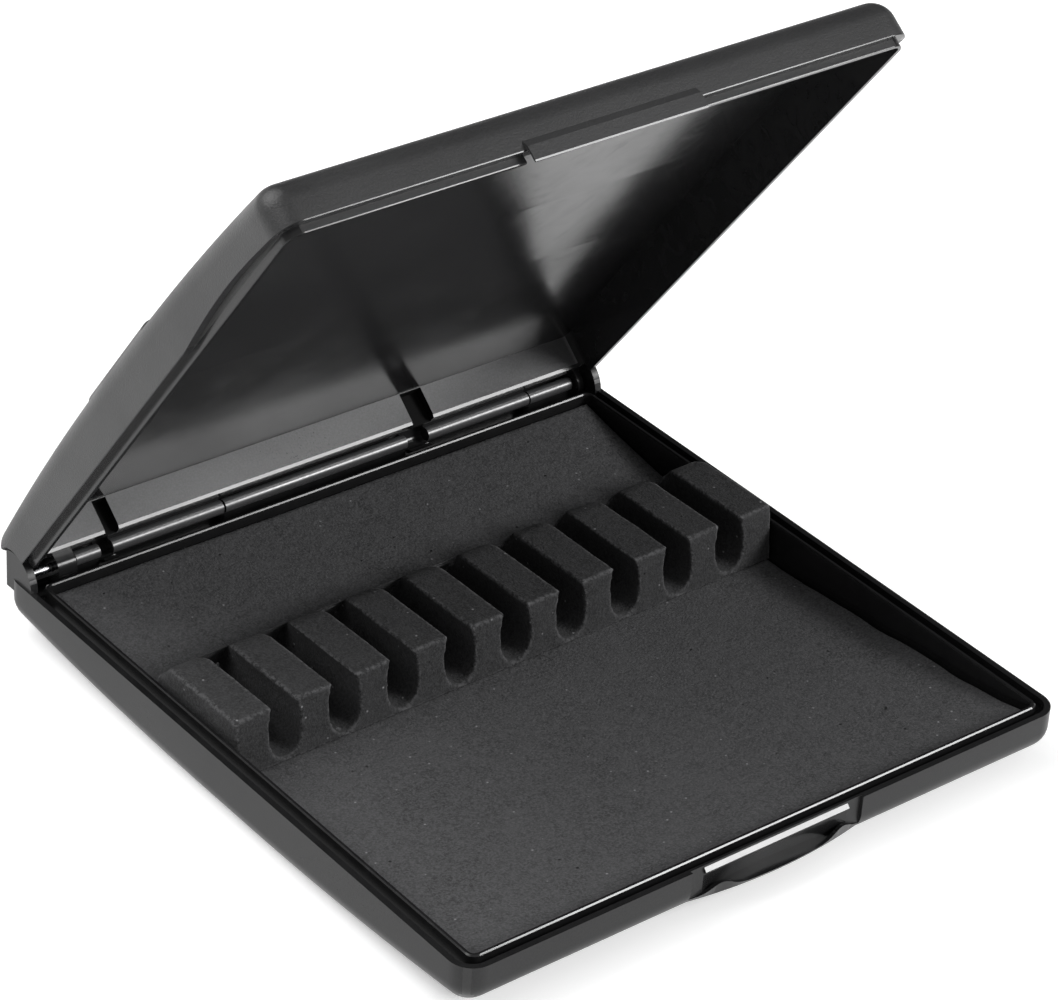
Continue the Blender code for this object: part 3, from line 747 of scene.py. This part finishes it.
# --- pins ---------------------------------------------------------------------
def build_pin(name, x_from, x_to, material):
    """A wire pin with eased ends."""
    pin = add_object(name, rod(x_from, x_to, PIN_R, PIN_STEPS), material)
    bevel = pin.modifiers.new("ease", "BEVEL")
    bevel.width = PIN_EASE * MM
    bevel.segments = 3
    bevel.limit_method = "ANGLE"
    bevel.angle_limit = math.radians(60)
    apply_modifiers(pin)
    smooth(pin, PIN_SHARP)
    return pin


# --- foam ---------------------------------------------------------------------
def spread(low, high):
    """Positions from low to high, closer together near both ends."""
    ends = [EDGE_CELL * step * step / EDGE_ROWS for step in range(EDGE_ROWS)]
    inner_low = low + ends[-1]
    inner_high = high - ends[-1]
    inner = inner_high - inner_low
    middle = [inner_low + inner * step / SHEET_CELLS for step in range(1, SHEET_CELLS)]
    return [low + e for e in ends] + middle + [high - e for e in reversed(ends)]


def sheet_height(x, y):
    """The foam's surface: dished and slightly uneven."""
    z = sheet_top(y)
    for height, frequency, layer in SHEET_SWELLS:
        z += height * noise.noise(Vector((x * frequency, y * frequency, layer)))
    return z


def along_wall(y, swell):
    """An uneven value that changes along the right wall."""
    mean, variation, frequency, place = swell
    return mean + variation * noise.noise(Vector((place.x, y * frequency, place.z)))


def right_rise(x, y, half_x):
    """The sheet was cut a little wide: its front half rides up unevenly along the right wall."""
    near = max(0.0, 1 - (half_x - x) / RISE_WIDTH)
    forward = min(1.0, max(0.0, -y / RISE_FULL))
    return near ** 2 * forward * along_wall(y, RISE_SWELL)


def build_sheet(material):
    """The foam sheet on the tray's floor."""
    gap = SHEET_GAP + LIP_WALL
    half_x = LIP_X - gap
    low_y = LIP_FRONT + gap
    high_y = LIP_BACK - gap
    xs = spread(-half_x, half_x)
    ys = spread(low_y, high_y)
    drop, soft = SHEET_SOFT_EDGE
    bm = bmesh.new()
    top = []
    low = []
    for x in xs:
        top_row = []
        low_row = []
        for y in ys:
            edge = min(half_x - abs(x), y - low_y, high_y - y)
            round_off = drop * max(0.0, 1 - edge / soft) ** 2
            at_wavy_edge = x > half_x - WAVE_EDGE and y < WAVE_FRONT
            wave = max(along_wall(y, WAVE), 0.0) if at_wavy_edge else 0.0
            z = sheet_height(x, y) - round_off + right_rise(x, y, half_x)
            top_row.append(bm.verts.new((x - wave, y, z)))
            low_row.append(bm.verts.new((x, y, tray_bottom(y) + FLOOR + SHEET_GAP)))
        top.append(top_row)
        low.append(low_row)
    nx = len(xs)
    ny = len(ys)
    for i in range(nx - 1):
        for j in range(ny - 1):
            bm.faces.new((top[i][j], top[i + 1][j], top[i + 1][j + 1], top[i][j + 1]))
            bm.faces.new((low[i][j], low[i][j + 1], low[i + 1][j + 1], low[i + 1][j]))
    for i in range(nx - 1):
        for j in (0, ny - 1):
            bm.faces.new((top[i][j], top[i + 1][j], low[i + 1][j], low[i][j]))
    for j in range(ny - 1):
        for i in (0, nx - 1):
            bm.faces.new((top[i][j], top[i][j + 1], low[i][j + 1], low[i][j]))
    sheet = add_object("foam_lining", bm, material)
    smooth(sheet, SHEET_SHARP)
    return sheet


def slot_outline(centre):
    """A keyhole slot, from its left lip down and round to its right lip."""
    left = [(centre - half, STRIP_TOP - depth) for half, depth in SLOT_HALVES]
    right = [(centre + half, STRIP_TOP - depth) for half, depth in reversed(SLOT_HALVES)]
    return left + [(centre, SLOT_FLOOR)] + right


def strip_solid():
    """The strip before it is softened: its front and back outlines with faces between them."""
    front_bottom = sheet_top(STRIP_FRONT) + SHEET_GAP
    back_bottom = sheet_top(STRIP_BACK) + SHEET_GAP
    outline = [
        (STRIP_HALF, front_bottom),
        (-STRIP_HALF, front_bottom),
        (-STRIP_HALF, RIM_Z),
        (-STRIP_HALF, STRIP_TOP),
    ]
    for number in range(SLOTS):
        outline += slot_outline(SLOT_PITCH * (number - (SLOTS - 1) / 2))
    outline += [(STRIP_HALF, STRIP_TOP), (STRIP_HALF, RIM_Z)]
    bm = bmesh.new()
    front = []
    back = []
    for x, z in outline:
        low = max(0.0, (RIM_Z - z) / (RIM_Z - front_bottom))
        lift = low * (back_bottom - front_bottom)
        front.append(bm.verts.new((x, STRIP_FRONT - STRIP_LEAN * (STRIP_TOP - z), z)))
        back.append(bm.verts.new((x, STRIP_BACK - STRIP_SLOPE * max(0.0, z - RIM_Z), z + lift)))
    join_rings(bm, front, back)
    bm.faces.new(front)
    bm.faces.new(back)
    bmesh.ops.triangulate(bm, faces=bm.faces)
    return bm


def tooth_middle(x):
    """Middle of the tooth that x belongs to, at the strip's top."""
    number = round(x / SLOT_PITCH - 0.5) + 0.5
    number = max(-SLOTS / 2, min(SLOTS / 2, number))
    if abs(number) < SLOTS / 2:
        return number * SLOT_PITCH
    inner = (SLOTS / 2 - 0.5) * SLOT_PITCH + SLOT_HALVES[0][0]
    return math.copysign((STRIP_HALF + inner) / 2, number)


def round_tooth(x, y, z):
    """Narrows and lowers the back end of a tooth."""
    below, above = TOOTH_RISE
    up = min(1.0, max(0.0, (z - RIM_Z + below) / above))
    back = STRIP_BACK - STRIP_SLOPE * max(0.0, z - RIM_Z)
    near = max(0.0, 1 - (back - y) / TOOTH_REACH)
    if up > 0 and near > 0:
        middle = tooth_middle(x)
        keep = 1 - up * TOOTH_ROUND * (1 - math.sqrt(max(0.0, 1 - near * near)))
        x = middle + (x - middle) * keep
        z -= up * TOOTH_DROP * near * near * max(0.0, (z - RIM_Z) / (STRIP_TOP - RIM_Z))
    return x, y, z


def build_strip(material):
    """The slotted strip: remeshed finely, then softened and rounded at the teeth's back ends."""
    strip = add_object("foam_comb", strip_solid(), material)
    remesh = strip.modifiers.new("remesh", "REMESH")
    remesh.mode = "VOXEL"
    remesh.voxel_size = STRIP_VOXEL * MM
    apply_modifiers(strip)
    relax = strip.modifiers.new("relax", "SMOOTH")
    relax.factor = 0.5
    relax.iterations = 3
    apply_modifiers(strip)
    for vertex in strip.data.vertices:
        place = Vector(round_tooth(*(vertex.co / MM)))
        tug = 0.0
        for height, frequency in (LUMPS, GRAINS):
            tug += height * noise.noise(place * frequency)
        vertex.co = (place + TUG * tug) * MM
    middle = Vector((0, (STRIP_FRONT + STRIP_BACK) / 2 * MM, 0))
    turn = Matrix.Rotation(math.radians(STRIP_TURN), 4, "Z")
    strip.data.transform(Matrix.Translation(middle) @ turn @ Matrix.Translation(-middle))
    strip.data.shade_smooth()
    return strip


# --- materials ----------------------------------------------------------------
def set_range(node, low, high, to_low, to_high):
    ranges = {"From Min": low, "From Max": high, "To Min": to_low, "To Max": to_high}
    for name, number in ranges.items():
        node.inputs[name].default_value = number


class Nodes:
    """Short calls for building a material's nodes."""

    def __init__(self, name):
        self.material = bpy.data.materials.new(name)
        self.material.use_nodes = True
        self.tree = self.material.node_tree
        self.shader = self.tree.nodes["Principled BSDF"]
        self.place = self.add("ShaderNodeTexCoord").outputs["Object"]

    def add(self, kind, **values):
        node = self.tree.nodes.new(kind)
        for key, value in values.items():
            setattr(node, key, value)
        return node

    def link(self, out, into):
        self.tree.links.new(out, into)

    def stretched(self, scale):
        node = self.add("ShaderNodeMapping")
        node.inputs["Scale"].default_value = scale
        self.link(self.place, node.inputs["Vector"])
        return node.outputs["Vector"]

    def noise(self, scale, detail, rough=0.55, vector=None, distortion=0.0):
        node = self.add("ShaderNodeTexNoise")
        node.inputs["Scale"].default_value = scale
        node.inputs["Detail"].default_value = detail
        node.inputs["Roughness"].default_value = rough
        node.inputs["Distortion"].default_value = distortion
        self.link(vector or self.place, node.inputs["Vector"])
        return node.outputs["Fac"]

    def cells(self, scale):
        node = self.add("ShaderNodeTexVoronoi")
        node.inputs["Scale"].default_value = scale
        self.link(self.place, node.inputs["Vector"])
        return node.outputs["Distance"]

    def span(self, value, low, high, to_low, to_high):
        """The value, mapped from the range low to high onto the other range, and held within it."""
        node = self.add("ShaderNodeMapRange")
        set_range(node, low, high, to_low, to_high)
        self.link(value, node.inputs["Value"])
        return node.outputs["Result"]

    def math(self, operation, one, two):
        node = self.add("ShaderNodeMath", operation=operation)
        for socket, value in zip(node.inputs, (one, two)):
            if isinstance(value, (int, float)):
                socket.default_value = value
            else:
                self.link(value, socket)
        return node.outputs["Value"]

    def mix(self, factor, one, two):
        node = self.add("ShaderNodeMix", data_type="RGBA")
        self.link(factor, node.inputs["Factor"])
        colour_inputs = [s for s in node.inputs if s.type == "RGBA"]
        for socket, value in zip(colour_inputs, (one, two)):
            if isinstance(value, tuple):
                socket.default_value = (*value, 1.0)
            else:
                self.link(value, socket)
        return [s for s in node.outputs if s.type == "RGBA"][0]

    def bump(self, height, distance, strength=1.0):
        node = self.add("ShaderNodeBump")
        node.inputs["Distance"].default_value = distance
        node.inputs["Strength"].default_value = strength
        self.link(height, node.inputs["Height"])
        return node.outputs["Normal"]

    def set(self, **values):
        """Puts each value on the shader's socket of that name, or links it there."""
        for name, value in values.items():
            socket = self.shader.inputs[name.replace("_", " ")]
            if isinstance(value, (int, float, tuple)):
                socket.default_value = value
            else:
                self.link(value, socket)
        return self.material


def grey(value):
    """A very slightly cool grey."""
    return (value, value, value * 1.03)


def moulded_plastic(name, low_rough, high_rough, shade, grain, specular):
    """Black moulded plastic with a fine spark-eroded grain, handling marks and dust."""
    n = Nodes(name)
    clouds = n.noise(60, 3)
    fine = n.noise(4200, 3, 0.65)
    hairs = n.noise(90, 5, 0.6, n.stretched((1.0, 40.0, 9.0)))
    marks = n.span(hairs, 0.66, 0.74, 0.0, 1.0)
    handled = n.span(clouds, 0.35, 0.68, low_rough, high_rough)
    worn = n.math("ADD", handled, n.math("MULTIPLY", marks, 0.06))
    dust = n.span(n.cells(1500), 0.0, 0.06, 1.0, 0.0)
    colour = n.mix(n.span(clouds, 0.3, 0.7, 0.0, 1.0), grey(shade * 0.85), grey(shade * 1.15))
    grained = n.mix(n.span(fine, 0.35, 0.7, 0.0, 0.6), colour, grey(shade * 2.2))
    speckled = n.mix(n.math("MULTIPLY", dust, 0.25), grained, grey(0.16))
    roughness = n.math("ADD", worn, n.math("MULTIPLY", n.span(fine, 0.3, 0.7, -1.0, 1.0), 0.05))
    return n.set(Base_Color=speckled, Roughness=roughness, Specular_IOR_Level=specular,
                 Normal=n.bump(fine, grain * MM))


def polished_plastic(name, shade, specular):
    """The mould's polished side: nearly a mirror, faintly wavy, with smudges and fine hairlines."""
    n = Nodes(name)
    clouds = n.noise(45, 4, 0.6, distortion=0.6)
    smudge = n.noise(260, 5, 0.6, distortion=1.2)
    hairs = n.noise(120, 5, 0.65, n.stretched((30.0, 1.0, 3.0)))
    waves = n.noise(35, 2)
    handled = n.span(clouds, 0.35, 0.65, 0.16, 0.21)
    smudged = n.math("ADD", handled, n.span(smudge, 0.5, 0.75, 0.0, 0.05))
    scratched = n.math("ADD", smudged, n.span(hairs, 0.68, 0.76, 0.0, 0.05))
    colour = n.mix(n.span(smudge, 0.3, 0.7, 0.0, 1.0), grey(shade * 0.85), grey(shade * 1.2))
    return n.set(Base_Color=colour, Roughness=scratched, Specular_IOR_Level=specular,
                 Normal=n.bump(waves, 0.05 * MM))


def drawn_steel(name):
    """Bright drawn wire: fine rings round the wire and a few duller patches."""
    n = Nodes(name)
    rings = n.noise(300, 6, 0.7, n.stretched((60.0, 1.0, 1.0)))
    patches = n.noise(700, 3)
    drawn = n.span(rings, 0.3, 0.7, 0.16, 0.30)
    roughness = n.math("ADD", drawn, n.span(patches, 0.5, 0.7, 0.0, 0.12))
    colour = n.mix(patches, (0.62, 0.62, 0.63), (0.48, 0.48, 0.50))
    return n.set(Base_Color=colour, Metallic=1.0, Roughness=roughness,
                 Normal=n.bump(rings, 0.003 * MM))


def shaded_foam_pits(n):
    """Small open pits, in some places only, painted near black as painted shade."""
    pit = n.span(n.cells(760), 0.06, 0.2, 1.0, 0.0)
    rare = n.span(n.noise(300, 2), 0.65, 0.69, 0.0, 1.0)
    return n.math("MULTIPLY", pit, rare)


def closed_cell_foam(name, shade, worn):
    """Charcoal foam: matt, with small pits in painted shade, pale torn flecks, soft blotches and
    worn edges.
    """
    n = Nodes(name)
    blotch = n.noise(110, 5, 0.62)
    patches = n.noise(620, 4, 0.6)
    crumbs = n.noise(1700, 3, 0.7)
    grain = n.noise(3400, 4, 0.75)
    pits = shaded_foam_pits(n)
    base = n.mix(n.span(blotch, 0.32, 0.68, 0.0, 1.0), grey(shade * 0.78), grey(shade * 1.2))
    clouded = n.mix(n.span(patches, 0.40, 0.64, 0.0, 0.5), base, grey(shade * 1.6))
    crumbled = n.mix(n.span(crumbs, 0.40, 0.62, 0.0, 0.6), clouded, grey(shade * 1.9))
    mottled = n.mix(n.span(grain, 0.46, 0.64, 0.0, 0.8), crumbled, grey(shade * 2.2))
    edge = n.span(n.add("ShaderNodeNewGeometry").outputs["Pointiness"], 0.512, 0.56, 0.0, worn)
    broken_edge = n.math("MULTIPLY", edge, n.span(crumbs, 0.42, 0.58, 0.1, 1.0))
    rubbed = n.mix(broken_edge, mottled, grey(shade * 4.6))
    fleck = n.span(n.cells(430), 0.0, 0.085, 1.0, 0.0)
    flecked = n.mix(n.math("MULTIPLY", fleck, 0.8), rubbed, grey(0.34))
    # Painted shade: the pits are coloured near black, while the bump below sinks them.
    colour = n.mix(pits, flecked, grey(shade * 0.25))
    height = n.math("ADD", n.math("MULTIPLY", grain, 0.8), n.math("MULTIPLY", n.cells(3000), 0.5))
    rolling = n.math("ADD", height, n.math("MULTIPLY", patches, 1.6))
    deep = n.math("SUBTRACT", rolling, n.math("MULTIPLY", pits, 2.0))
    return n.set(Base_Color=colour, Roughness=n.span(grain, 0.2, 0.8, 0.86, 0.98),
                 Specular_IOR_Level=0.25, Normal=n.bump(deep, 0.12 * MM, 0.9))


# --- stage --------------------------------------------------------------------
def build_floor():
    """A plain pale floor, just under the case."""
    bm = bmesh.new()
    bmesh.ops.create_grid(bm, x_segments=2, y_segments=2, size=4000)
    bmesh.ops.translate(bm, verts=bm.verts, vec=(0, 0, -0.02))
    n = Nodes("pale_floor")
    n.set(Base_Color=(0.88, 0.88, 0.88, 1.0), Roughness=0.9, Specular_IOR_Level=0.1,
          Emission_Color=(1.0, 1.0, 1.0, 1.0), Emission_Strength=0.32)
    floor = add_object("floor", bm, n.material)


def softbox(name, target, direction, distance, width, height, radiance):
    """A rectangular lamp that faces the target from the given direction."""
    lamp = bpy.data.lights.new(name, "AREA")
    lamp.shape = "RECTANGLE"
    lamp.size = width
    lamp.size_y = height
    lamp.energy = radiance * math.pi * width * height
    thing = bpy.data.objects.new(name, lamp)
    bpy.context.scene.collection.objects.link(thing)
    away = Vector(direction).normalized()
    thing.location = Vector(target) + away * distance
    thing.rotation_euler = away.to_track_quat("Z", "Y").to_euler()
    thing.visible_camera = False


def build_camera():
    camera = bpy.data.cameras.new("camera")
    camera.lens = LENS
    camera.sensor_width = SENSOR
    camera.clip_start = 0.01
    camera.clip_end = 100.0
    thing = bpy.data.objects.new("camera", camera)
    bpy.context.scene.collection.objects.link(thing)
    right = Vector(CAMERA_RIGHT).normalized()
    ahead = Vector(CAMERA_AHEAD).normalized()
    up = right.cross(ahead).normalized()
    right = ahead.cross(up).normalized()
    turn = Matrix((right, up, -ahead)).transposed().to_4x4()
    thing.matrix_world = Matrix.Translation(CAMERA_PLACE) @ turn
    bpy.context.scene.camera = thing


def build_world():
    """A grey surround, dark behind and to the right, where a black flag would hang."""
    world = bpy.data.worlds.new("studio")
    world.use_nodes = True
    tree = world.node_tree
    background = tree.nodes["Background"]
    place = tree.nodes.new("ShaderNodeTexCoord")
    toward = tree.nodes.new("ShaderNodeVectorMath")
    toward.operation = "DOT_PRODUCT"
    toward.inputs[1].default_value = Vector(FLAG_TOWARD).normalized()
    tree.links.new(place.outputs["Generated"], toward.inputs[0])
    fade = tree.nodes.new("ShaderNodeMapRange")
    fade.interpolation_type = "SMOOTHSTEP"
    set_range(fade, *FLAG_FADE, ROOM_SHADE, FLAG_SHADE)
    tree.links.new(toward.outputs["Value"], fade.inputs["Value"])
    tree.links.new(fade.outputs["Result"], background.inputs["Color"])
    bpy.context.scene.world = world


# --- everything ---------------------------------------------------------------
def tray_and_lid():
    tray_plastic = moulded_plastic("tray_plastic", 0.30, 0.38,
                                   shade=0.012, grain=0.008, specular=0.25)
    tray_gloss = polished_plastic("tray_gloss", shade=0.010, specular=0.40)
    lid_plastic = moulded_plastic("lid_plastic", 0.40, 0.50,
                                  shade=0.015, grain=0.05, specular=0.5)
    lid_gloss = polished_plastic("lid_gloss", shade=0.015, specular=0.30)
    # A real satin finish, with a colour three times lighter than the other plastics as painted
    # sheen on the barrels and back wall.
    hinge_satin_painted_sheen = moulded_plastic("hinge_satin_painted_sheen", 0.31, 0.37,
                                  shade=0.045, grain=0.004, specular=1.0)
    # Near black and dull: painted shade on the walls of the slots above the hinge gaps.
    slot_painted_shade = moulded_plastic("slot_painted_shade", 0.60, 0.70,
                                   shade=0.003, grain=0.01, specular=0.1)

    tray = build_tray(tray_plastic, tray_gloss, hinge_satin_painted_sheen)
    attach(tray, "tray")
    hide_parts("base_tray")

    lid = build_lid(lid_plastic, lid_gloss, hinge_satin_painted_sheen, slot_painted_shade)
    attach(lid, "lid")
    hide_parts("lid_shell")


def pins():
    wire = drawn_steel("pin_wire")
    for label, x_from, x_to in PINS:
        pin = build_pin(f"pin_{label}", x_from, x_to, wire)
        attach(pin, "tray")
        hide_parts(f"hinge_pin_{label}")


def foam():
    sheet = build_sheet(closed_cell_foam("foam_lining", shade=0.041, worn=0.0))
    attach(sheet, "tray")
    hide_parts("foam_sheet")

    strip = build_strip(closed_cell_foam("foam_comb", shade=0.022, worn=1.0))
    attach(strip, "tray")
    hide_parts("foam_slotted_strip")


def studio():
    build_floor()
    build_camera()
    build_world()
    for lamp in LAMPS:
        softbox(*lamp)
    bpy.context.scene.view_settings.view_transform = "Standard"


tray_and_lid()
pins()
foam()
studio()
